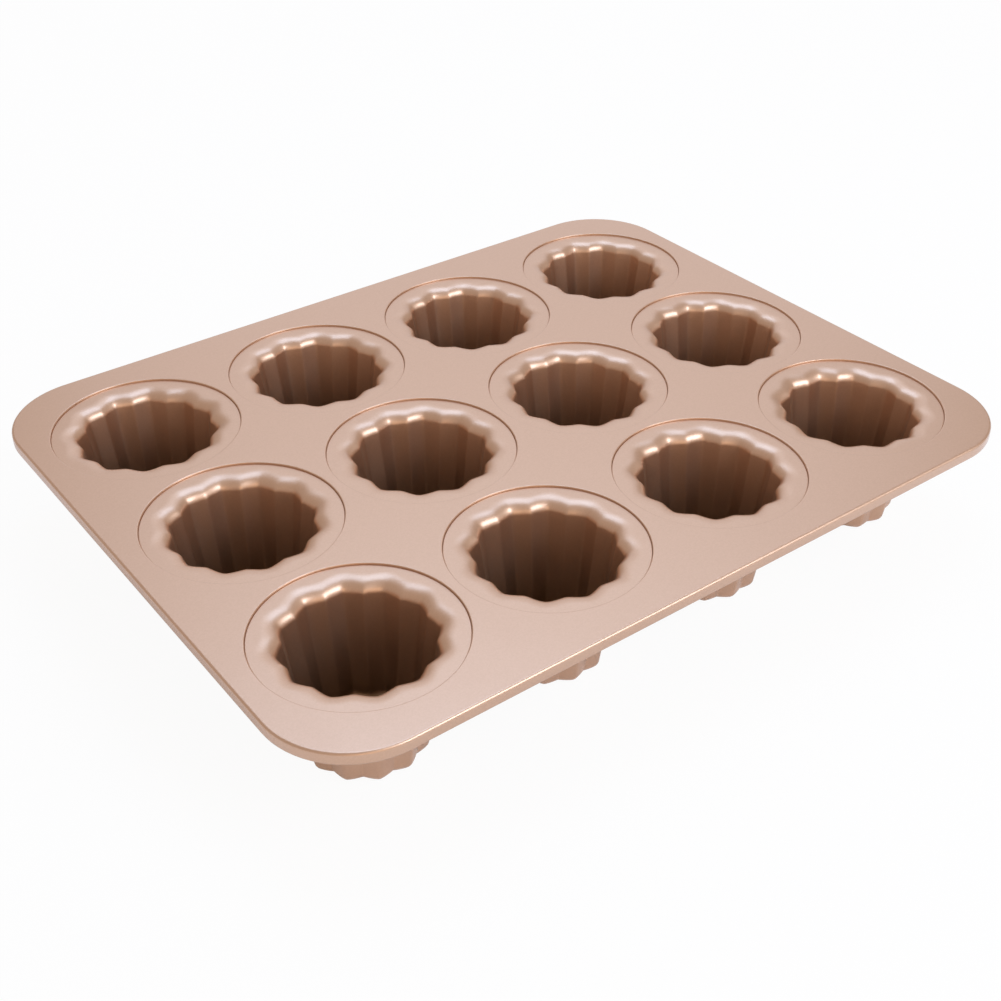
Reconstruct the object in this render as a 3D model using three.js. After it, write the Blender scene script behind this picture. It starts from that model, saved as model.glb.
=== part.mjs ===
// Canele tray: one folded sheet-steel tray and a grid of fluted cups. Each cup is drawn as its own
// piece, with a flange whose edge is turned down into a lip, and the tray's collar is crimped under
// that lip. Millimetres, +Z up. The origin is in the middle of the footprint, on the surface that
// the cups' feet stand on.

import * as THREE from "three";
import { mergeVertices } from "three/addons/utils/BufferGeometryUtils.js";

// Sheet steel
const SHEET = 0.8; // gauge of the tray and of the cups
const RIM_BEND = 0.2; // inside radius of the fold along the tray's edge
const COLLAR_BEND = 0.2; // inside radius of the bend from the tray's top down into a collar
const CLEARANCE = 0.3; // gap between a cup's lip and the crimp around and under it

// Fluted cups
const COLUMNS = 4;
const ROWS = 3;
const FLUTES = 12;
const MOUTH_RADIUS = 26.7; // inside, at the top of the wall, halfway between lobes and ridges
const FOOT_RADIUS = 21.2; // inside, at the bottom of the wall, halfway between lobes and ridges
const FLUTE_DEPTH = 2; // from the ridges that stand into the cup out to the lobes between them
const LOBE_ANGLE = 6; // degrees round the cup taken by each rounded lobe
const CUP_DEPTH = 47; // inside, from the flange down to the floor
const MOUTH_CURVE = 5; // radius over which the wall rolls out into the flange
const FOOT_CURVE = 3.5; // inside radius between the wall and the floor
const FLANGE_WIDTH = 6; // flat ring from the mouth's curve, halfway up a flute, to the lip's outside
const FLANGE_DROP = 0.8; // step from the tray's top down to the flange
const LIP_HEIGHT = 3; // turned-down edge of the flange, measured outside

// How far each cup was turned when it was crimped in, in degrees: front row first, left to right
const CUP_TURNS = [
  [9.5, 20.5, 21, 8],
  [19, 24, 7, 12.5],
  [3, 0.5, 28.5, 17.5],
];

// Tray
const BRIDGE = 2; // flat sheet left between two neighbouring collars
const END_BORDER = 7.2; // flat sheet between the last collars and the fold of a short edge
const SIDE_BORDER = 11.8; // flat sheet between the last collars and the fold of a long edge
const CORNER_RADIUS = 34; // outside, in plan
const RIM_HEIGHT = 5; // outside height of the folded-down edge
const HEM_GAP = 0.4; // opening left inside the hem along the rim's bottom
const HEM_RETURN = 2.6; // how far the hem stands up again behind the rim
const CRIMP_GRIP = 0.6; // how far the crimp reaches past the lip's inside

// Facets
const SEAM_STEPS = 24; // round the flange, lip, collar and crimp
const CORNER_STEPS = 5; // round each corner of the tray

// Finish: champagne non-stick coating over steel
const COAT_COLOUR = "#c9aa97";
const COAT_ROUGHNESS = 0.42;
const COAT_METALNESS = 0.75;

// Levels, from the table up
const FLANGE_TOP = SHEET + CUP_DEPTH;
const TRAY_TOP = FLANGE_TOP + FLANGE_DROP;
const LIP_BOTTOM = FLANGE_TOP - LIP_HEIGHT;
const CRIMP_TOP = LIP_BOTTOM - CLEARANCE;
const RIM_BOTTOM = TRAY_TOP - RIM_HEIGHT;

// Radii about a cup's axis, from the floor out
const WAVE = FLUTE_DEPTH / 2;
const FLOOR_RADIUS = FOOT_RADIUS - FOOT_CURVE;
const FLANGE_INNER = MOUTH_RADIUS + MOUTH_CURVE;
const LIP_RADIUS = FLANGE_INNER + FLANGE_WIDTH;
const COLLAR_RADIUS = LIP_RADIUS + CLEARANCE;
const CRIMP_RADIUS = LIP_RADIUS - SHEET - CRIMP_GRIP;
const COLLAR_OUTSIDE = COLLAR_BEND + SHEET;
const SEAM_EDGE = COLLAR_RADIUS + COLLAR_OUTSIDE;

// Plan of the tray
const RIM_OUTSIDE = RIM_BEND + SHEET;
const PITCH = 2 * SEAM_EDGE + BRIDGE;
const HALF_LENGTH = ((COLUMNS - 1) / 2) * PITCH + SEAM_EDGE + END_BORDER + RIM_OUTSIDE;
const HALF_WIDTH = ((ROWS - 1) / 2) * PITCH + SEAM_EDGE + SIDE_BORDER + RIM_OUTSIDE;

const FULL_TURN = 2 * Math.PI;
const HALF_BEND = Math.SQRT1_2; // sine and cosine in the middle of a right-angle bend

function evenShares(count) {
  return Array.from({ length: count }, (_, step) => step / count);
}

function polar(share, radius, height, centre = new THREE.Vector2()) {
  const angle = share * FULL_TURN;
  const x = centre.x + radius * Math.cos(angle);
  const y = centre.y + radius * Math.sin(angle);
  return new THREE.Vector3(x, y, height);
}

/** A round ring of points, counter-clockwise from above, with each point's share of a full turn. */
function roundRing(radius, height, centre) {
  const shares = evenShares(SEAM_STEPS);
  return { shares, points: shares.map((share) => polar(share, radius, height, centre)) };
}

/** Collects the triangles of one closed skin, with every face pointing out of the metal. */
class Skin {
  constructor() {
    this.corners = [];
  }

  triangle(a, b, c) {
    this.corners.push(a, b, c);
  }

  /** The band between two rings: walks round both and always moves the one that lags. */
  band(first, second) {
    const cornerOf = (of, step) => of.points[step % of.points.length];
    const shareOf = (of, step) => of.shares[step % of.shares.length] + Math.floor(step / of.shares.length);
    const afterStep = (of, step) => (step < of.points.length ? shareOf(of, step + 1) : Infinity);
    let i = 0;
    let j = 0;
    while (i < first.points.length || j < second.points.length) {
      const a = cornerOf(first, i);
      const b = cornerOf(second, j);
      if (afterStep(first, i) <= afterStep(second, j)) {
        i += 1;
        this.triangle(a, b, cornerOf(first, i));
      } else {
        j += 1;
        this.triangle(a, b, cornerOf(second, j));
      }
    }
  }

  bands(rings) {
    rings.slice(1).forEach((next, index) => this.band(rings[index], next));
  }

  /** A flat face bounded by one ring, with holes in it, facing up or down. */
  face(outline, holes, facesUp) {
    const flat = (points) => points.map((p) => new THREE.Vector2(p.x, p.y));
    const corners = [outline, ...holes].flatMap((r) => r.points);
    const cuts = holes.map((hole) => flat(hole.points));
    for (const [a, b, c] of THREE.ShapeUtils.triangulateShape(flat(outline.points), cuts)) {
      const order = facesUp ? [a, b, c] : [a, c, b];
      this.triangle(...order.map((index) => corners[index]));
    }
  }

  geometry() {
    const loose = new THREE.BufferGeometry().setFromPoints(this.corners);
    const closed = mergeVertices(loose);
    closed.computeVertexNormals();
    return closed;
  }
}

/** Shares of a turn round a cup, sorted, at the given offsets from each lobe and from each ridge. */
function fluteMarks(turn, lobeOffsets, ridgeOffsets) {
  const marks = [];
  for (let half = 0; half < 2 * FLUTES; half += 1) {
    const isLobe = half % 2 === 0;
    const middle = turn / 360 + half / (2 * FLUTES);
    for (const offset of isLobe ? lobeOffsets : ridgeOffsets) {
      marks.push({ share: (middle + offset + 1) % 1, wave: isLobe ? WAVE : -WAVE });
    }
  }
  return marks.sort((a, b) => a.share - b.share);
}

/** A fluted ring: the wave takes it out at the lobes and in at the ridges. */
function flutedRing(marks, radius, height) {
  const points = marks.map((mark) => polar(mark.share, radius + mark.wave, height));
  return { shares: marks.map((mark) => mark.share), points };
}

/**
 * One cup, standing on the origin: floor, fluted wall, mouth, flange and lip, then back down outside.
 * The flutes run on through the foot's and the mouth's curves, out to the edges of the floor and flange.
 */
function cupGeometry(turn) {
  const lobeHalf = LOBE_ANGLE / 2 / 360;
  const edges = fluteMarks(turn, [-lobeHalf, lobeHalf], [0]);
  const middles = fluteMarks(turn, [0], [0]);
  const wallFoot = SHEET + FOOT_CURVE;
  const wallTop = FLANGE_TOP - MOUTH_CURVE;

  // Middles of the foot's and the mouth's curves: on the inner face with no sheet, else on the outer
  const foot = (sheet) => {
    const reach = (FOOT_CURVE + sheet) * HALF_BEND;
    return flutedRing(middles, FLOOR_RADIUS + reach, wallFoot - reach);
  };
  const mouth = (sheet) => {
    const reach = (MOUTH_CURVE - sheet) * HALF_BEND;
    return flutedRing(middles, FLANGE_INNER - reach, wallTop + reach);
  };

  const floorInside = flutedRing(middles, FLOOR_RADIUS, SHEET);
  const floorOutside = flutedRing(middles, FLOOR_RADIUS, 0);
  const skin = new Skin();
  skin.face(floorInside, [], true);
  skin.bands([
    floorInside,
    foot(0),
    flutedRing(edges, FOOT_RADIUS, wallFoot),
    flutedRing(edges, MOUTH_RADIUS, wallTop),
    mouth(0),
    flutedRing(middles, FLANGE_INNER, FLANGE_TOP),
    roundRing(LIP_RADIUS, FLANGE_TOP),
    roundRing(LIP_RADIUS, LIP_BOTTOM),
    roundRing(LIP_RADIUS - SHEET, LIP_BOTTOM),
    roundRing(LIP_RADIUS - SHEET, FLANGE_TOP - SHEET),
    flutedRing(middles, FLANGE_INNER, FLANGE_TOP - SHEET),
    mouth(SHEET),
    flutedRing(edges, MOUTH_RADIUS + SHEET, wallTop),
    flutedRing(edges, FOOT_RADIUS + SHEET, wallFoot),
    foot(SHEET),
    floorOutside,
  ]);
  skin.face(floorOutside, [], false);
  return skin.geometry();
}

/** The tray's outline, set in from its outer edge, at one height. */
function outlineRing(inset, height) {
  const radius = CORNER_RADIUS - inset;
  const points = [];
  for (let corner = 0; corner < 4; corner += 1) {
    const right = corner === 0 || corner === 3 ? 1 : -1;
    const back = corner < 2 ? 1 : -1;
    const x = right * (HALF_LENGTH - CORNER_RADIUS);
    const y = back * (HALF_WIDTH - CORNER_RADIUS);
    const centre = new THREE.Vector2(x, y);
    for (let step = 0; step <= CORNER_STEPS; step += 1) {
      points.push(polar((corner + step / CORNER_STEPS) / 4, radius, height, centre));
    }
  }
  return { shares: evenShares(points.length), points };
}

/** The folded edge, from the tray's top over the fold, down the rim, round the hem and back up inside. */
function rimRings() {
  const foldLevel = TRAY_TOP - RIM_OUTSIDE;
  const foldMiddle = RIM_OUTSIDE * (1 - HALF_BEND);
  const hemRadius = SHEET + HEM_GAP / 2;
  const hemLevel = RIM_BOTTOM + hemRadius;
  const returnTop = RIM_BOTTOM + HEM_RETURN;
  return [
    outlineRing(RIM_OUTSIDE, TRAY_TOP),
    outlineRing(foldMiddle, TRAY_TOP - foldMiddle),
    outlineRing(0, foldLevel),
    outlineRing(0, hemLevel),
    outlineRing(hemRadius, RIM_BOTTOM),
    outlineRing(2 * hemRadius, hemLevel),
    outlineRing(2 * hemRadius, returnTop),
    outlineRing(2 * hemRadius - SHEET, returnTop),
    outlineRing(2 * hemRadius - SHEET, hemLevel),
    outlineRing(SHEET, hemLevel),
    outlineRing(SHEET, foldLevel),
    outlineRing(RIM_OUTSIDE, TRAY_TOP - SHEET),
  ];
}

/** One collar, from the tray's underside down to the crimp, round it and up to the tray's top. */
function collarRings(centre) {
  const section = [
    [SEAM_EDGE, TRAY_TOP - SHEET],
    [COLLAR_RADIUS + SHEET, CRIMP_TOP - SHEET],
    [CRIMP_RADIUS, CRIMP_TOP - SHEET],
    [CRIMP_RADIUS, CRIMP_TOP],
    [COLLAR_RADIUS, CRIMP_TOP],
    [COLLAR_RADIUS, TRAY_TOP - COLLAR_OUTSIDE],
    [SEAM_EDGE, TRAY_TOP],
  ];
  return section.map(([radius, height]) => roundRing(radius, height, centre));
}

/** Where each cup stands: rows from front to back, columns from left to right. */
function cupPlaces() {
  const places = [];
  for (let row = 0; row < ROWS; row += 1) {
    for (let column = 0; column < COLUMNS; column += 1) {
      const turns = CUP_TURNS[row % CUP_TURNS.length];
      places.push({
        name: `cup_row${row + 1}_col${column + 1}`,
        centre: new THREE.Vector2((column - (COLUMNS - 1) / 2) * PITCH, (row - (ROWS - 1) / 2) * PITCH),
        turn: turns[column % turns.length],
      });
    }
  }
  return places;
}

/** The tray: a flat top with its folded edge, and a crimped collar for each cup. */
function trayGeometry(places) {
  const rim = rimRings();
  const collars = places.map((place) => collarRings(place.centre));
  const skin = new Skin();
  skin.face(rim[0], collars.map((rings) => rings.at(-1)), true);
  skin.face(rim.at(-1), collars.map((rings) => rings[0]), false);
  skin.bands(rim);
  collars.forEach((rings) => skin.bands(rings));
  return skin.geometry();
}

function coatedPiece(name, geometry) {
  const coat = new THREE.MeshStandardMaterial({
    color: COAT_COLOUR,
    roughness: COAT_ROUGHNESS,
    metalness: COAT_METALNESS,
  });
  const piece = new THREE.Mesh(geometry, coat);
  piece.name = name;
  return piece;
}

const caneleTray = new THREE.Group();
const places = cupPlaces();
caneleTray.add(coatedPiece("tray", trayGeometry(places)));
for (const place of places) {
  const cup = coatedPiece(place.name, cupGeometry(place.turn));
  cup.position.set(place.centre.x, place.centre.y, 0);
  caneleTray.add(cup);
}

export default caneleTray;
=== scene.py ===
"""Canele tray: a folded sheet-steel tray with fluted cups crimped into it.

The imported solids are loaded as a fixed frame. Each one is then replaced, where it is, by a smooth
surface worked out with numpy, and a plain studio stage is set around them.
"""

import bpy
import numpy as np
from mathutils import Matrix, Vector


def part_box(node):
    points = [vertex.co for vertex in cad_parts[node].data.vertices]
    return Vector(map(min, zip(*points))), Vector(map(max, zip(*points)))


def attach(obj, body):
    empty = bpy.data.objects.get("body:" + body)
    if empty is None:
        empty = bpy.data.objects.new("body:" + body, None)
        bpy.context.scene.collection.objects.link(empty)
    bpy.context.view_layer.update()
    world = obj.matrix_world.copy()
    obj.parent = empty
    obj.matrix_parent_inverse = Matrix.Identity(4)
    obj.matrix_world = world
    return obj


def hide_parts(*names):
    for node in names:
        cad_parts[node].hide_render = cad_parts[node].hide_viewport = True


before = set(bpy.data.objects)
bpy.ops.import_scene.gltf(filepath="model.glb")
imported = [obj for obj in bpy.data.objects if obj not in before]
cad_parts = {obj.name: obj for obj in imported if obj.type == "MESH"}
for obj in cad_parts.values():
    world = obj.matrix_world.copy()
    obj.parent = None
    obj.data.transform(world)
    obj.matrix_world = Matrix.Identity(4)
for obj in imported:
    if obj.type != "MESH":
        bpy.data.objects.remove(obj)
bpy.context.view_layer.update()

bl_info = {
    "name": "Canele tray",
    "version": (1, 0, 0),
    "blender": (4, 5, 0),
    "location": "3D View > Sidebar > Canele tray",
    "description": "Builds a sheet-steel canele tray with crimped-in fluted cups",
    "category": "Object",
}

MM = 0.001
BODY = "root"
TRAY_NODE = "tray"
CUP_NODES = sorted(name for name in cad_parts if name.startswith("cup_"))
PAINTED_SHADE_ATTRIBUTE = "depth"  # attribute: painted shade inside a cup, darker towards its floor
MERGE = 1e-7  # points closer than this, in metres, are one point
DECIMALS = 6  # of a metre, to which cups of one row or column agree
GUARD = 0.15 * MM  # narrow row beside a bend, so that flat sheet stays flat to its edge
SHARP = 0.1 * MM  # inside radius of a bend that is squeezed sharp
BELOW_MOUTH = 0.9  # share of a cup's height that lies below the roll of its mouth
UPWARD = 0.5  # a normal that rises more than this is on a floor or a flange

FLUTE_POINTS = 24  # points round one flute
FLOOR_RINGS = (0.12, 0.5, 0.88)  # rings on a cup's floor, as shares of its flat part
FOOT_POINTS, WALL_POINTS, MOUTH_POINTS = 13, 15, 17  # points up a cup's section
LIP_POINTS = 9  # points round each bend of a lip
COLLAR_POINTS = 7  # points round each bend of a collar
RIM_POINTS, HEM_POINTS = 9, 13  # points round the rim's bend and round its hem
SIDE_POINTS = 28  # points along one side of a cup's cell of the tray

FLOOR_REACH = 40.0  # metres from the tray to each edge of the floor
CAMERA_ANGLES = (-36.834, 35.322, -0.115)  # turn, tilt and roll in degrees
CAMERA_TO_TRAY = (0.8, -34.85, 590.08)  # mm right, down and ahead to the middle of the tray's top
PICTURE_WIDTH = 36.0  # mm across the camera's sensor
NEAR = 0.01  # metres before the camera at which things start to show

TRAY_LOW, TRAY_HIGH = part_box(TRAY_NODE)
TRAY_TOP = TRAY_HIGH.z


def linear(code):
    """An sRGB hex colour as linear red, green and blue."""
    srgb = np.array([int(code[k : k + 2], 16) for k in (1, 3, 5)]) / 255
    return tuple(np.where(srgb <= 0.04045, srgb / 12.92, ((srgb + 0.055) / 1.055) ** 2.4).tolist())


def length(name, description, millimetres):
    """A length property, given in millimetres and kept in metres."""
    return bpy.props.FloatProperty(
        name=name,
        description=description,
        default=millimetres * MM,
        min=0.0,
        subtype="DISTANCE",
        unit="LENGTH",
        precision=5,
    )


def share(name, description, default):
    """A property that runs from 0 to 1."""
    return bpy.props.FloatProperty(
        name=name, description=description, default=default, min=0.0, max=1.0, subtype="FACTOR"
    )


def colour(name, description, code):
    """A colour property, given as an sRGB hex code."""
    return bpy.props.FloatVectorProperty(
        name=name, description=description, default=linear(code), min=0.0, max=1.0, subtype="COLOR"
    )


class CanelePartSizes(bpy.types.PropertyGroup):
    """Sizes of the tray and of its cups that a user would change."""

    sheet: length("Sheet", "Gauge of the tray and of the cups", 0.8)
    flutes: bpy.props.IntProperty(name="Flutes", description="Lobes round each cup", default=12, min=3)
    flute_depth: length("Flute depth", "From the ridges out to the lobes", 2.0)
    flute_sharpness: bpy.props.FloatProperty(
        name="Flute sharpness",
        description="0 is a soft wave, 1 is a folded zigzag",
        default=0.985,
        min=0.01,
        max=0.999,
        subtype="FACTOR",
    )
    mouth_radius: length("Mouth radius", "Inside, at the top of the wall", 26.7)
    foot_radius: length("Foot radius", "Inside, at the bottom of the wall", 21.2)
    mouth_curve: length("Mouth curve", "Radius over which the wall rolls into the flange", 5.0)
    mouth_spread: bpy.props.FloatProperty(
        name="Mouth spread",
        description="Times that the roll is stretched where it meets the flange",
        default=1.4,
        min=1.0,
    )
    foot_curve: length("Foot curve", "Inside radius between the wall and the floor", 3.5)
    lip_height: length("Lip height", "Turned-down edge of the flange", 3.0)
    lip_bend: length("Lip bend", "Outside radius between the flange and its lip", 0.3)
    clearance: length("Clearance", "Gap between a lip and the crimp squeezed round it", 0.05)
    crimp_grip: length("Crimp grip", "How far the crimp reaches past the lip's inside", 0.6)
    collar_bend: length("Collar bend", "Outside radius between the tray's top and a collar", 0.4)
    rim_bend: length("Rim bend", "Outside radius of the fold along the tray's edge", 1.0)
    corner_radius: length("Corner radius", "Outside corners of the tray, in plan", 34.0)
    hem_gap: length("Hem gap", "Opening left inside the rolled hem", 0.4)
    hem_return: length("Hem return", "How far the hem stands up behind the rim", 2.6)


class CaneleCoat(bpy.types.PropertyGroup):
    """Finish of the sprayed coating, and the painted shade down in its cups."""

    base: colour("Coat colour", "Champagne of the sprayed coat", "#d6b296")
    flake_colour: colour("Flake colour", "Paler champagne of the flakes in the coat", "#dab69a")
    # Painted shade: the dark colour that the coat is mixed towards down in a cup, darker towards its floor.
    painted_shade_colour: colour("Deep colour", "Thin coat on the floor of a cup, with the steel showing", "#6e563a")
    flake: length("Flake", "Width of one flake as it shows", 0.5)
    drift: length("Drift", "Width of one smoother or rougher patch of the coat", 18.0)
    smoothest: share("Smoothest", "Roughness of the smoothest patches", 0.40)
    roughest: share("Roughest", "Roughness of the roughest patches", 0.46)
    clear_roughness: share("Clear roughness", "Roughness of the clear layer over the coat", 0.25)
    peel: length("Orange peel", "Width of one ripple of the sprayed coat", 2.4)
    peel_height: length("Peel height", "Height of one ripple of the sprayed coat", 0.04)
    peel_strength: share("Peel strength", "How much of the ripple shows", 0.25)


class CaneleStage(bpy.types.PropertyGroup):
    """Camera, floor and light."""

    lens: bpy.props.FloatProperty(
        name="Lens", description="Focal length for a 36 mm wide picture", default=51.88, unit="CAMERA"
    )
    floor_colour: colour("Floor colour", "Pale paper under the tray", "#f7f6f5")
    floor_glow: share("Floor glow", "Share of plain white in the floor as the camera sees it", 0.94)
    floor_mirror: share("Floor mirror", "Share of plain white in the floor as the metal mirrors it", 0.1)
    room: bpy.props.FloatProperty(
        name="Room", description="Brightness of the room round the tray", default=0.55, min=0.0
    )
    room_colour: colour("Room colour", "Colour of the room round the tray", "#ffeee3")


def closed_mesh(name, grids, fans=()):
    """One mesh from grids of points whose columns run round and close on themselves.

    Four neighbouring points of a grid make a quad. A fan is a ring and whether it faces up, and makes a
    triangle from each step of the ring to the ring's middle. Points that fall together become one.
    """
    points, quads, triangles = [], [], []
    count = 0
    for grid in grids:
        rows, columns = grid.shape[:2]
        index = count + np.arange(rows * columns).reshape(rows, columns)
        first, second = index[:-1], index[1:]
        corners = [first, second, np.roll(second, -1, 1), np.roll(first, -1, 1)]
        quads.append(np.stack(corners, -1).reshape(-1, 4))
        points.append(grid.reshape(-1, 3))
        count += rows * columns
    for ring, faces_up in fans:
        index = count + np.arange(len(ring))
        middle = np.full(len(ring), count + len(ring))
        after = np.roll(index, -1)
        order = [middle, index, after] if faces_up else [middle, after, index]
        triangles.append(np.stack(order, -1))
        points += [ring, ring.mean(0, keepdims=True)]
        count += len(ring) + 1
    points = np.concatenate(points)
    _, kept, where = np.unique(np.round(points / MERGE), axis=0, return_index=True, return_inverse=True)
    points, where = points[kept], where.ravel()
    quads = where[np.concatenate(quads)]
    triangles = where[np.concatenate(triangles)] if triangles else np.zeros((0, 3), int)

    mesh = bpy.data.meshes.new(name)
    mesh.vertices.add(len(points))
    mesh.vertices.foreach_set("co", points.astype(np.float32).ravel())
    mesh.loops.add(quads.size + triangles.size)
    mesh.loops.foreach_set("vertex_index", np.concatenate([quads.ravel(), triangles.ravel()]))
    mesh.polygons.add(len(quads) + len(triangles))
    starts = [4 * np.arange(len(quads)), quads.size + 3 * np.arange(len(triangles))]
    mesh.polygons.foreach_set("loop_start", np.concatenate(starts))
    mesh.polygons.foreach_set("use_smooth", np.ones(len(quads) + len(triangles), bool))
    mesh.update(calc_edges=True)
    if mesh.validate():
        raise RuntimeError(f"{name} has faces that do not close")
    return mesh


def add_piece(mesh, material, node):
    """Puts a finished mesh into the scene in place of one solid of the frame."""
    piece = bpy.data.objects.new(mesh.name, mesh)
    bpy.context.scene.collection.objects.link(piece)
    mesh.materials.append(material)
    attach(piece, BODY)
    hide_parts(node)


def add_node(tree, kind, settings=None, inputs=None):
    """Adds one node with its settings; an input that is a socket is linked, and any other is set."""
    made = tree.nodes.new(kind)
    for name, value in (settings or {}).items():
        setattr(made, name, value)
    for name, value in (inputs or {}).items():
        if isinstance(value, bpy.types.NodeSocket):
            tree.links.new(value, made.inputs[name])
        else:
            made.inputs[name].default_value = value
    return made


def empty_material(name):
    """A node material with only its output."""
    material = bpy.data.materials.new(name)
    material.use_nodes = True
    material.node_tree.nodes.clear()
    return material, material.node_tree


def coated_steel(coat):
    """Sprayed and baked champagne non-stick coating on drawn steel sheet.

    To the eye it is a satin metal: pale and even where it mirrors a bright room, darker and browner with
    every bounce inside a cup, with a fine flake and the faint ripple of a sprayed coat. A clear layer gives
    the bends a soft white sheen. Down in a cup, shade is painted into the colour, darker towards the floor.
    """
    name = "sprayed_champagne_nonstick_on_steel"
    if name in bpy.data.materials:
        return bpy.data.materials[name]
    material, tree = empty_material(name)
    place = add_node(tree, "ShaderNodeTexCoord").outputs["Object"]
    flake = add_node(
        tree, "ShaderNodeTexVoronoi", inputs={"Vector": place, "Scale": 1 / coat.flake, "Randomness": 1.0}
    )
    shade = add_node(tree, "ShaderNodeSeparateColor", inputs={"Color": flake.outputs["Color"]})
    flaked = add_node(
        tree,
        "ShaderNodeMix",
        {"data_type": "RGBA"},
        {"Factor": shade.outputs["Red"], "A": (*coat.base, 1), "B": (*coat.flake_colour, 1)},
    )
    # Painted shade: down in a cup the coat's colour is mixed towards the dark shade colour.
    depth = add_node(tree, "ShaderNodeAttribute", {"attribute_name": PAINTED_SHADE_ATTRIBUTE})
    painted_shade_mix = add_node(
        tree,
        "ShaderNodeMix",
        {"data_type": "RGBA"},
        {"Factor": depth.outputs["Fac"], "A": flaked.outputs["Result"], "B": (*coat.painted_shade_colour, 1)},
    )
    drift = add_node(
        tree, "ShaderNodeTexNoise", inputs={"Vector": place, "Scale": 1 / coat.drift, "Detail": 3.0}
    )
    roughness = add_node(
        tree,
        "ShaderNodeMapRange",
        inputs={"Value": drift.outputs["Fac"], "To Min": coat.smoothest, "To Max": coat.roughest},
    )
    ripple = add_node(
        tree, "ShaderNodeTexNoise", inputs={"Vector": place, "Scale": 1 / coat.peel, "Detail": 1.0}
    )
    bump = add_node(
        tree,
        "ShaderNodeBump",
        inputs={
            "Height": ripple.outputs["Fac"],
            "Strength": coat.peel_strength,
            "Distance": coat.peel_height,
        },
    )
    shader = add_node(
        tree,
        "ShaderNodeBsdfPrincipled",
        inputs={
            "Base Color": painted_shade_mix.outputs["Result"],
            "Metallic": 1.0,
            "Roughness": roughness.outputs["Result"],
            "Normal": bump.outputs["Normal"],
            "Coat Weight": 1.0,
            "Coat Roughness": coat.clear_roughness,
        },
    )
    add_node(tree, "ShaderNodeOutputMaterial", inputs={"Surface": shader.outputs["BSDF"]})
    return material


def cup_turn(node, centre, flutes):
    """How far a cup is turned, read off the solid below its flange: the phase of one period to a flute."""
    flat = np.zeros(3 * len(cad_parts[node].data.vertices), np.float32)
    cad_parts[node].data.vertices.foreach_get("co", flat)
    points = flat.reshape(-1, 3)
    x, y = (points[points[:, 2] < BELOW_MOUTH * points[:, 2].max(), :2] - centre).T
    radius = np.hypot(x, y)
    return np.angle(np.sum((radius - radius.mean()) * np.exp(1j * flutes * np.arctan2(y, x)))) / flutes


def flute_wave(angle, sizes, turn, soft):
    """The flutes round a cup: 1 on the lobes and -1 on the ridges, with one period to a flute.

    Where soft is 0 it is a rounded zigzag: the arc sine of a cosine that is scaled down a little, which
    rounds the folds, over the arc sine's own peak. Where soft is 1 it is the plain cosine.
    """
    sharp = sizes.flute_sharpness
    cosine = np.cos(sizes.flutes * (angle - turn))
    return (1 - soft) * np.arcsin(sharp * cosine) / np.arcsin(sharp) + soft * cosine


def stations(radius, height, lean, share=0.0, soft=0.0):
    """Stations of a section, spread to one length.

    Lean is how far the normal into the sheet points down, from 0 for straight out to a right angle for
    straight down. Share and soft say how much of the flutes' wave there is, and how soft it is.
    """
    return np.stack(np.broadcast_arrays(*np.atleast_1d(radius, height, lean, share, soft)))


def cup_section(sizes, lip, flange):
    """The cup's upper face, from the middle of its floor up the inside and over the mouth to the lip's bend.

    Foot and mouth are circles, and the wall is the straight line that touches both, so its taper is the
    slope of the line between their middles less the angle whose sine is both radii over that line. The
    mouth is then stretched outwards, by nothing at the wall and by its full spread at the flange. Its lean
    is the direction of the stretched curve.
    """
    foot, mouth, down = sizes.foot_curve, sizes.mouth_curve, np.pi / 2
    floor = sizes.foot_radius - foot
    brim = sizes.mouth_radius + mouth
    across, up = brim - floor, flange - mouth - sizes.sheet - foot
    taper = np.arctan2(across, up) - np.arcsin((foot + mouth) / np.hypot(across, up))
    flat_end = lip - sizes.lip_bend
    turn = np.linspace(down, taper, FOOT_POINTS)
    roll = np.linspace(taper, down, MOUTH_POINTS)
    rings = np.array([*FLOOR_RINGS, 1 - GUARD / floor])
    foot_curve = stations(floor + foot * np.cos(turn), sizes.sheet + foot - foot * np.sin(turn), turn, 1.0)
    fade = (roll - taper) / (down - taper)
    reach = mouth * (np.cos(taper) - np.cos(roll))
    extra = sizes.mouth_spread - 1
    stretch = 1 + extra * fade
    outwards = mouth * np.sin(roll) * stretch + reach * extra / (down - taper)
    lean = np.arctan2(outwards, mouth * np.cos(roll))
    radius = brim - mouth * np.cos(taper) + reach * stretch
    mouth_curve = stations(radius, flange - mouth + mouth * np.sin(roll), lean, 1.0, fade)
    rise = np.linspace(0, 1, WALL_POINTS)[1:-1]
    wall = foot_curve[:, -1:] + (mouth_curve[:, :1] - foot_curve[:, -1:]) * rise
    return np.concatenate(
        [
            stations(floor * rings, sizes.sheet, down, rings),
            foot_curve,
            wall,
            mouth_curve,
            stations(radius[-1] + GUARD, flange, down, 1.0, 1.0),
            stations(np.array([(radius[-1] + flat_end) / 2, flat_end - GUARD]), flange, down),
        ],
        axis=1,
    )


def lip_section(sizes, lip, flange):
    """The turned-down lip as radius and height, from the flange's bend round the free edge to inside."""
    sheet, bend, edge = sizes.sheet, sizes.lip_bend, sizes.sheet / 2
    inside = max(bend - sheet, SHARP)
    half = np.linspace(0, np.pi, LIP_POINTS)
    quarter = np.linspace(0, np.pi / 2, LIP_POINTS)
    sine, cosine = np.sin(quarter), np.cos(quarter)
    bottom = flange - sizes.lip_height
    return np.concatenate(
        [
            stations(lip - bend + bend * sine, flange - bend + bend * cosine, 0.0),
            stations(lip - edge + edge * np.cos(half), bottom + edge - edge * np.sin(half), 0.0),
            stations(lip - sheet - inside + inside * cosine, flange - sheet - inside + inside * sine, 0.0),
        ],
        axis=1,
    )


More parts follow.
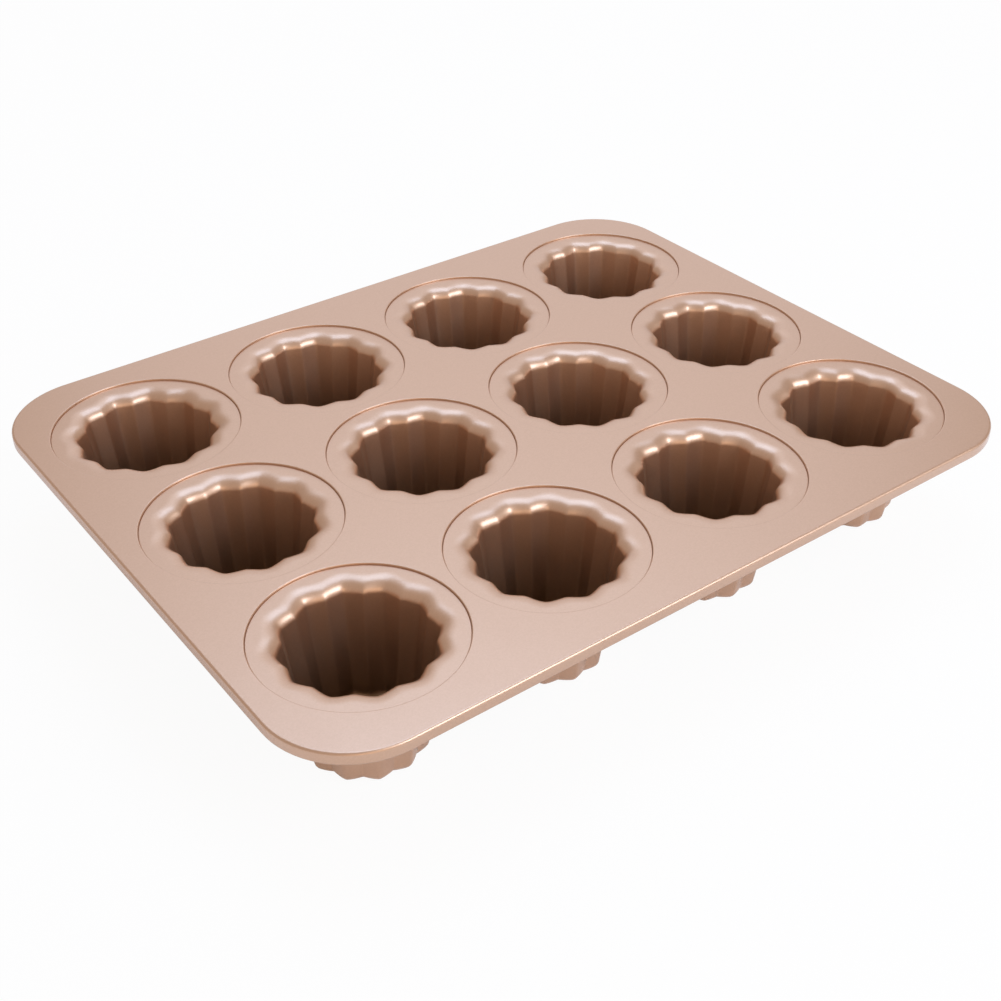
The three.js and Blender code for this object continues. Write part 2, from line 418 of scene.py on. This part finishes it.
def cup_surface(sizes, node):
    """A cup: its section carried round, each ring moved in and out by its share of the flutes' wave.

    The lower face is the upper one moved a sheet along its normal. In plan that is the normal of the fluted
    ring: across the ring by the radius and back along it by the radius's slope, over the root of the sum of
    their squares.
    """
    low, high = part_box(node)
    centre = np.array([low.x + high.x, low.y + high.y]) / 2
    turn = cup_turn(node, centre, sizes.flutes)
    angle = np.linspace(0, 2 * np.pi, FLUTE_POINTS * sizes.flutes, endpoint=False)
    lip = (high.x - low.x) / 2
    upper = cup_section(sizes, lip, high.z)
    edge = lip_section(sizes, lip, high.z)
    section = np.concatenate([upper, edge, upper[:, ::-1]], axis=1)
    depth = np.zeros(section.shape[1])
    depth[-upper.shape[1] :] = sizes.sheet

    radius, height, lean, share, soft = (row[:, None] for row in section)
    depth = depth[:, None]
    ring = radius + share * sizes.flute_depth / 2 * flute_wave(angle, sizes, turn, soft)
    slope = (np.roll(ring, -1, 1) - np.roll(ring, 1, 1)) / (2 * (angle[1] - angle[0]))
    grow = depth * np.cos(lean) / np.hypot(ring, slope)
    out, along = ring + grow * ring, -grow * slope
    x = centre[0] + out * np.cos(angle) - along * np.sin(angle)
    y = centre[1] + out * np.sin(angle) + along * np.cos(angle)
    z = np.broadcast_to(height - depth * np.sin(lean), x.shape)
    return np.stack([x, y, z], -1)


def mark_painted_shade(mesh, node):
    """Notes how much painted shade the cup's upper face gets: 0 at the flange, 1 on the floor.

    It grows as the square of the depth. The upper face is where the normal points up, or in towards the
    cup's axis. All other points get 0.
    """
    low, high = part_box(node)
    point = np.empty(3 * len(mesh.vertices), np.float32)
    normal = np.empty_like(point)
    mesh.vertices.foreach_get("co", point)
    mesh.vertex_normals.foreach_get("vector", normal)
    point, normal = point.reshape(-1, 3), normal.reshape(-1, 3)
    outward = point[:, :2] - [(low.x + high.x) / 2, (low.y + high.y) / 2]
    upper = (normal[:, 2] > UPWARD) | ((normal[:, :2] * outward).sum(1) < 0)
    depth = np.where(upper, ((high.z - point[:, 2]) / (high.z - low.z)) ** 2, 0.0)
    mesh.attributes.new(PAINTED_SHADE_ATTRIBUTE, "FLOAT", "POINT").data.foreach_set("value", depth.astype(np.float32))


class TrayOutline:
    """The tray's outline: a circle whose middle slides along the sides and stops in the corners.

    Middle and direction are straight-line functions of the length run along the outline, which starts in
    the middle of the front right corner and goes counter-clockwise. The stops are the lengths run at the
    corners' middles and where the borders between the cups' cells meet the outline.
    """

    def __init__(self, half_x, half_y, radius, borders_x, borders_y):
        x, y = half_x - radius, half_y - radius
        arc = radius * np.pi / 4
        steps = [0, arc, 2 * y, 2 * arc, 2 * x, 2 * arc, 2 * y, 2 * arc, 2 * x, arc]
        run = np.cumsum(steps)
        self.radius = radius
        self.run = run
        self.middle_x = np.array([x, x, x, x, -x, -x, -x, -x, x, x])
        self.middle_y = np.array([-y, -y, y, y, y, y, -y, -y, -y, -y])
        self.direction = np.array([-1, 0, 0, 2, 2, 4, 4, 6, 6, 7]) * np.pi / 4
        self.right = np.concatenate([[0], run[1] + y + borders_y, [run[2] + arc]])
        self.back = np.concatenate([[run[2] + arc], run[3] + x - borders_x[::-1], [run[4] + arc]])
        self.left = np.concatenate([[run[4] + arc], run[5] + y - borders_y[::-1], [run[6] + arc]])
        self.front = np.concatenate([[run[6] + arc], run[7] + x + borders_x, [run[9]]])

    def at(self, run, inset):
        """Points at the lengths run, set in from the outline."""
        angle = np.interp(run, self.run, self.direction)
        x = np.interp(run, self.run, self.middle_x) + (self.radius - inset) * np.cos(angle)
        y = np.interp(run, self.run, self.middle_y) + (self.radius - inset) * np.sin(angle)
        return np.stack([x, y], -1)


def along(start, end):
    """Even steps from start up to, and not including, end."""
    return np.linspace(start, end, SIDE_POINTS, endpoint=False)


def cell_border(outline, lines_x, lines_y, row, column, inset):
    """Points round the piece of flat sheet that belongs to one cup: straight borders, or the outline."""
    rows, columns = len(lines_y) - 1, len(lines_x) - 1
    x0, x1 = lines_x[column : column + 2]
    y0, y1 = lines_y[row : row + 2]
    sides = [
        (column == columns - 1, outline.right, row, (x1, y0), (x1, y1)),
        (row == rows - 1, outline.back, columns - 1 - column, (x1, y1), (x0, y1)),
        (column == 0, outline.left, rows - 1 - row, (x0, y1), (x0, y0)),
        (row == 0, outline.front, column, (x0, y0), (x1, y0)),
    ]
    points = []
    for is_outer, stops, place, start, end in sides:
        if is_outer:
            points.append(outline.at(along(stops[place], stops[place + 1]), inset))
        else:
            points.append(along(np.array(start), np.array(end)))
    return np.concatenate(points)


def joined(*parts):
    """Parts of a section, each a pair of numbers or arrays, spread to one length and put end to end."""
    return np.concatenate([np.stack(np.broadcast_arrays(*np.atleast_1d(*part))) for part in parts], axis=1)


def collar_section(sizes, lip, flange):
    """One collar as radius and height, from the tray's underside down, round the crimp and up to the top.

    Bends are quarter circles and the crimp's free edge is a half circle.
    """
    sheet, outer = sizes.sheet, sizes.collar_bend
    inner = max(outer - sheet, SHARP)
    collar = lip + sizes.clearance
    crimp_top = flange - sizes.lip_height - sizes.clearance
    crimp = lip - sheet - sizes.crimp_grip
    edge = sheet / 2
    quarter = np.linspace(0, np.pi / 2, COLLAR_POINTS)
    half = np.linspace(0, np.pi, COLLAR_POINTS)
    sine, cosine = np.sin(quarter), np.cos(quarter)
    under = collar + sheet + inner
    return joined(
        (under + GUARD, TRAY_TOP - sheet),
        (under - inner * sine, TRAY_TOP - sheet - inner + inner * cosine),
        (collar - inner + (inner + sheet) * cosine, crimp_top + inner - (inner + sheet) * sine),
        (crimp + edge - edge * np.sin(half), crimp_top - edge - edge * np.cos(half)),
        (collar - inner + inner * sine, crimp_top + inner - inner * cosine),
        (collar + outer - outer * cosine, TRAY_TOP - outer + outer * sine),
        (collar + outer + GUARD, TRAY_TOP),
    )


def rim_section(sizes):
    """The folded edge as inset and height, from the top over the bend, down, round the hem and back inside.

    The bend is a quarter circle, the hem a half circle, and the hem's free edge a half circle.
    """
    sheet, outer = sizes.sheet, sizes.rim_bend
    inner = outer - sheet
    hem = sheet + sizes.hem_gap / 2
    bottom = TRAY_LOW.z
    bend_level = TRAY_TOP - outer
    edge = sheet / 2
    quarter = np.linspace(0, np.pi / 2, RIM_POINTS)
    half = np.linspace(0, np.pi, HEM_POINTS)
    sine, cosine = np.sin(quarter), np.cos(quarter)
    back_top = bottom + sizes.hem_return
    return joined(
        (outer + GUARD, TRAY_TOP),
        (outer - outer * sine, bend_level + outer * cosine),
        (hem - hem * np.cos(half), bottom + hem - hem * np.sin(half)),
        (2 * hem - edge + edge * np.cos(half), back_top - edge + edge * np.sin(half)),
        (hem + (hem - sheet) * np.cos(half), bottom + hem - (hem - sheet) * np.sin(half)),
        (outer - inner * cosine, bend_level + inner * sine),
        (outer + GUARD, TRAY_TOP - sheet),
    )


def tray_surfaces(sizes):
    """The tray: for each cup a cell of flat sheet with its collar, and the folded edge round them all.

    A cell runs from its border on the underside to its collar, down and round the crimp, and back out over
    the top to the same border. Along the sheet a point slides straight from the collar to the border.
    """
    seats = [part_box(node) for node in CUP_NODES]
    centres = np.array([[(low.x + high.x) / 2, (low.y + high.y) / 2] for low, high in seats])
    lip = (seats[0][1].x - seats[0][0].x) / 2
    middles_x, middles_y = (np.unique(np.round(centres[:, axis], DECIMALS)) for axis in (0, 1))
    borders_x, borders_y = ((line[1:] + line[:-1]) / 2 for line in (middles_x, middles_y))
    half_x, half_y = TRAY_HIGH.x, TRAY_HIGH.y
    outline = TrayOutline(half_x, half_y, sizes.corner_radius, borders_x, borders_y)
    inset = sizes.rim_bend + GUARD
    lines_x = np.concatenate([[inset - half_x], borders_x, [half_x - inset]])
    lines_y = np.concatenate([[inset - half_y], borders_y, [half_y - inset]])

    radius, height = collar_section(sizes, lip, seats[0][1].z)
    slide = np.array([1.0, 0.5])
    ends = [np.full(len(slide), level) for level in (height[0], height[-1])]
    grids = []
    for row, y in enumerate(middles_y):
        for column, x in enumerate(middles_x):
            border = cell_border(outline, lines_x, lines_y, row, column, inset) - (x, y)
            angle = np.arctan2(border[:, 1], border[:, 0])
            rings = radius[:, None, None] * np.stack([np.cos(angle), np.sin(angle)], -1)
            under = rings[0] + slide[:, None, None] * (border - rings[0])
            over = rings[-1] + slide[::-1, None, None] * (border - rings[-1])
            flat = np.concatenate([under, rings, over]) + (x, y)
            levels = np.concatenate([ends[0], height, ends[1]])
            levels = np.broadcast_to(levels[:, None, None], (*flat.shape[:2], 1))
            grids.append(np.concatenate([flat, levels], -1))

    stops = np.concatenate([outline.right, outline.back[1:], outline.left[1:], outline.front[1:]])
    run = np.concatenate([along(start, end) for start, end in zip(stops[:-1], stops[1:])])
    insets, levels = rim_section(sizes)
    plan = outline.at(run, insets[:, None])
    levels = np.broadcast_to(levels[:, None, None], (*plan.shape[:2], 1))
    grids.append(np.concatenate([plan, levels], -1))
    return grids


class CANELE_OT_make_tray(bpy.types.Operator):
    """Makes the folded tray with a crimped collar for each cup"""

    bl_idname = "canele.make_tray"
    bl_label = "Make the tray"

    def execute(self, context):
        material = coated_steel(context.scene.canele_coat)
        mesh = closed_mesh("folded_tray", tray_surfaces(context.scene.canele_sizes))
        add_piece(mesh, material, TRAY_NODE)
        return {"FINISHED"}


class CANELE_OT_make_cups(bpy.types.Operator):
    """Makes every fluted cup, turned as its solid is"""

    bl_idname = "canele.make_cups"
    bl_label = "Make the cups"

    def execute(self, context):
        sizes = context.scene.canele_sizes
        material = coated_steel(context.scene.canele_coat)
        for node in CUP_NODES:
            surface = cup_surface(sizes, node)
            fans = [(surface[0], True), (surface[-1], False)]
            mesh = closed_mesh(f"fluted_{node}", [surface], fans)
            mark_painted_shade(mesh, node)
            add_piece(mesh, material, node)
        return {"FINISHED"}


# Soft lights: name, azimuth and elevation in degrees, distance and side in metres, brightness, colour
SOFTBOXES = (
    ("front_softbox", -66, 36, 1.3, 0.72, 5.3, "#dfecff"),
    ("side_softbox", -115, 18, 1.5, 0.7, 1.0, "#ffdcb8"),
    ("back_softbox", 53, 30, 1.6, 1.4, 0.43, "#d8e7ff"),
    ("top_softbox", 53, 68, 1.5, 0.9, 2.7, "#b0d4ff"),
)


def add_softbox(name, azimuth, elevation, distance, side, brightness, colour):
    """A square soft light that faces the tray; its power follows from the brightness of its face."""
    lamp = bpy.data.lights.new(name, "AREA")
    lamp.shape = "SQUARE"
    lamp.size = side
    lamp.energy = brightness * np.pi * side**2
    lamp.color = linear(colour)
    softbox = bpy.data.objects.new(name, lamp)
    turn, rise = np.radians([azimuth, elevation])
    away = np.array([np.cos(rise) * np.cos(turn), np.cos(rise) * np.sin(turn), np.sin(rise)])
    right = np.array([-np.sin(turn), np.cos(turn), 0])
    place = np.eye(4)
    place[:3, :3] = np.column_stack([right, np.cross(away, right), away])
    place[:3, 3] = np.array([0, 0, TRAY_TOP]) + distance * away
    softbox.matrix_world = Matrix(place.tolist())
    bpy.context.scene.collection.objects.link(softbox)


class CANELE_OT_make_stage(bpy.types.Operator):
    """Sets the floor, the light and the camera"""

    bl_idname = "canele.make_stage"
    bl_label = "Set the stage"

    def execute(self, context):
        look = context.scene.canele_stage
        self.lay_floor(look)
        self.light(context.scene, look)
        self.set_camera(context.scene, look)
        context.scene.view_settings.view_transform = "Standard"
        return {"FINISHED"}

    def lay_floor(self, look):
        """A wide sheet of pale paper: paper white where it is seen, with the tray's shadow on it."""
        side = np.linspace(-FLOOR_REACH, FLOOR_REACH, 3)
        x, y = np.meshgrid(side, side, indexing="ij")
        points = np.stack([x, y, np.zeros_like(x)], -1).reshape(-1, 3)
        index = np.arange(x.size).reshape(x.shape)
        corners = [index[:-1, :-1], index[1:, :-1], index[1:, 1:], index[:-1, 1:]]
        mesh = bpy.data.meshes.new("floor")
        mesh.from_pydata(points.tolist(), [], np.stack(corners, -1).reshape(-1, 4).tolist())
        floor = bpy.data.objects.new("floor", mesh)
        bpy.context.scene.collection.objects.link(floor)
        material, tree = empty_material("pale_matt_paper")
        paper = add_node(tree, "ShaderNodeBsdfDiffuse", inputs={"Color": (*look.floor_colour, 1)})
        glow = add_node(tree, "ShaderNodeEmission", inputs={"Color": (1, 1, 1, 1), "Strength": 1.0})
        path = add_node(tree, "ShaderNodeLightPath")
        white = 0.0
        for kind, part in (
            ("Is Camera Ray", look.floor_glow),
            ("Is Glossy Ray", look.floor_mirror),
            ("Is Transmission Ray", look.floor_mirror),
        ):
            total = add_node(
                tree,
                "ShaderNodeMath",
                {"operation": "MULTIPLY_ADD"},
                {0: path.outputs[kind], 1: part, 2: white},
            )
            white = total.outputs["Value"]
        mixed = add_node(
            tree,
            "ShaderNodeMixShader",
            inputs={0: white, 1: paper.outputs["BSDF"], 2: glow.outputs["Emission"]},
        )
        add_node(tree, "ShaderNodeOutputMaterial", inputs={"Surface": mixed.outputs["Shader"]})
        mesh.materials.append(material)

    def light(self, scene, look):
        """An even room, and softboxes at the front right, low by the camera, wide behind and high above."""
        world = bpy.data.worlds.new("pale_room")
        world.use_nodes = True
        tree = world.node_tree
        tree.nodes.clear()
        room = add_node(
            tree, "ShaderNodeBackground", inputs={"Color": (*look.room_colour, 1), "Strength": look.room}
        )
        add_node(tree, "ShaderNodeOutputWorld", inputs={"Surface": room.outputs["Background"]})
        scene.world = world
        for softbox in SOFTBOXES:
            add_softbox(*softbox)

    def set_camera(self, scene, look):
        """A camera at the photograph's place, given by its angles and the tray's place before it."""
        turn, tilt, roll = np.radians(CAMERA_ANGLES)
        before = np.array(CAMERA_TO_TRAY) * MM
        back = np.array([np.sin(turn) * np.cos(tilt), -np.cos(turn) * np.cos(tilt), np.sin(tilt)])
        right = np.cross(-back, [0, 0, 1])
        right /= np.linalg.norm(right)
        down = np.cross(-back, right)
        level = np.array([right, down, -back])
        rolled = np.array([[np.cos(roll), -np.sin(roll), 0], [np.sin(roll), np.cos(roll), 0], [0, 0, 1]])
        axes = rolled @ level
        place = np.eye(4)
        place[:3, :3] = (axes * [[1], [-1], [-1]]).T
        place[:3, 3] = np.array([0, 0, TRAY_TOP]) - axes.T @ before
        camera = bpy.data.objects.new("camera", bpy.data.cameras.new("camera"))
        camera.data.lens = look.lens
        camera.data.sensor_width = PICTURE_WIDTH
        camera.data.sensor_fit = "HORIZONTAL"
        camera.data.clip_start = NEAR
        camera.matrix_world = Matrix(place.tolist())
        scene.collection.objects.link(camera)
        scene.camera = camera


class VIEW3D_PT_canele_tray(bpy.types.Panel):
    """Lists the steps that build the tray and its stage"""

    bl_label = "Canele tray"
    bl_space_type = "VIEW_3D"
    bl_region_type = "UI"
    bl_category = "Canele tray"

    def draw(self, context):
        for step in STEPS:
            self.layout.operator(step.bl_idname)
        for group in (context.scene.canele_sizes, context.scene.canele_coat, context.scene.canele_stage):
            for name in group.__annotations__:
                self.layout.prop(group, name)


GROUPS = {"canele_sizes": CanelePartSizes, "canele_coat": CaneleCoat, "canele_stage": CaneleStage}
STEPS = (CANELE_OT_make_tray, CANELE_OT_make_cups, CANELE_OT_make_stage)
CLASSES = (*GROUPS.values(), *STEPS, VIEW3D_PT_canele_tray)


def register():
    for kind in CLASSES:
        bpy.utils.register_class(kind)
    for name, group in GROUPS.items():
        setattr(bpy.types.Scene, name, bpy.props.PointerProperty(type=group))


def unregister():
    for name in GROUPS:
        delattr(bpy.types.Scene, name)
    for kind in reversed(CLASSES):
        bpy.utils.unregister_class(kind)


def main():
    """Registers the add-on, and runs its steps."""
    register()
    bpy.ops.canele.make_tray()
    bpy.ops.canele.make_cups()
    bpy.ops.canele.make_stage()


if __name__ == "__main__":
    main()
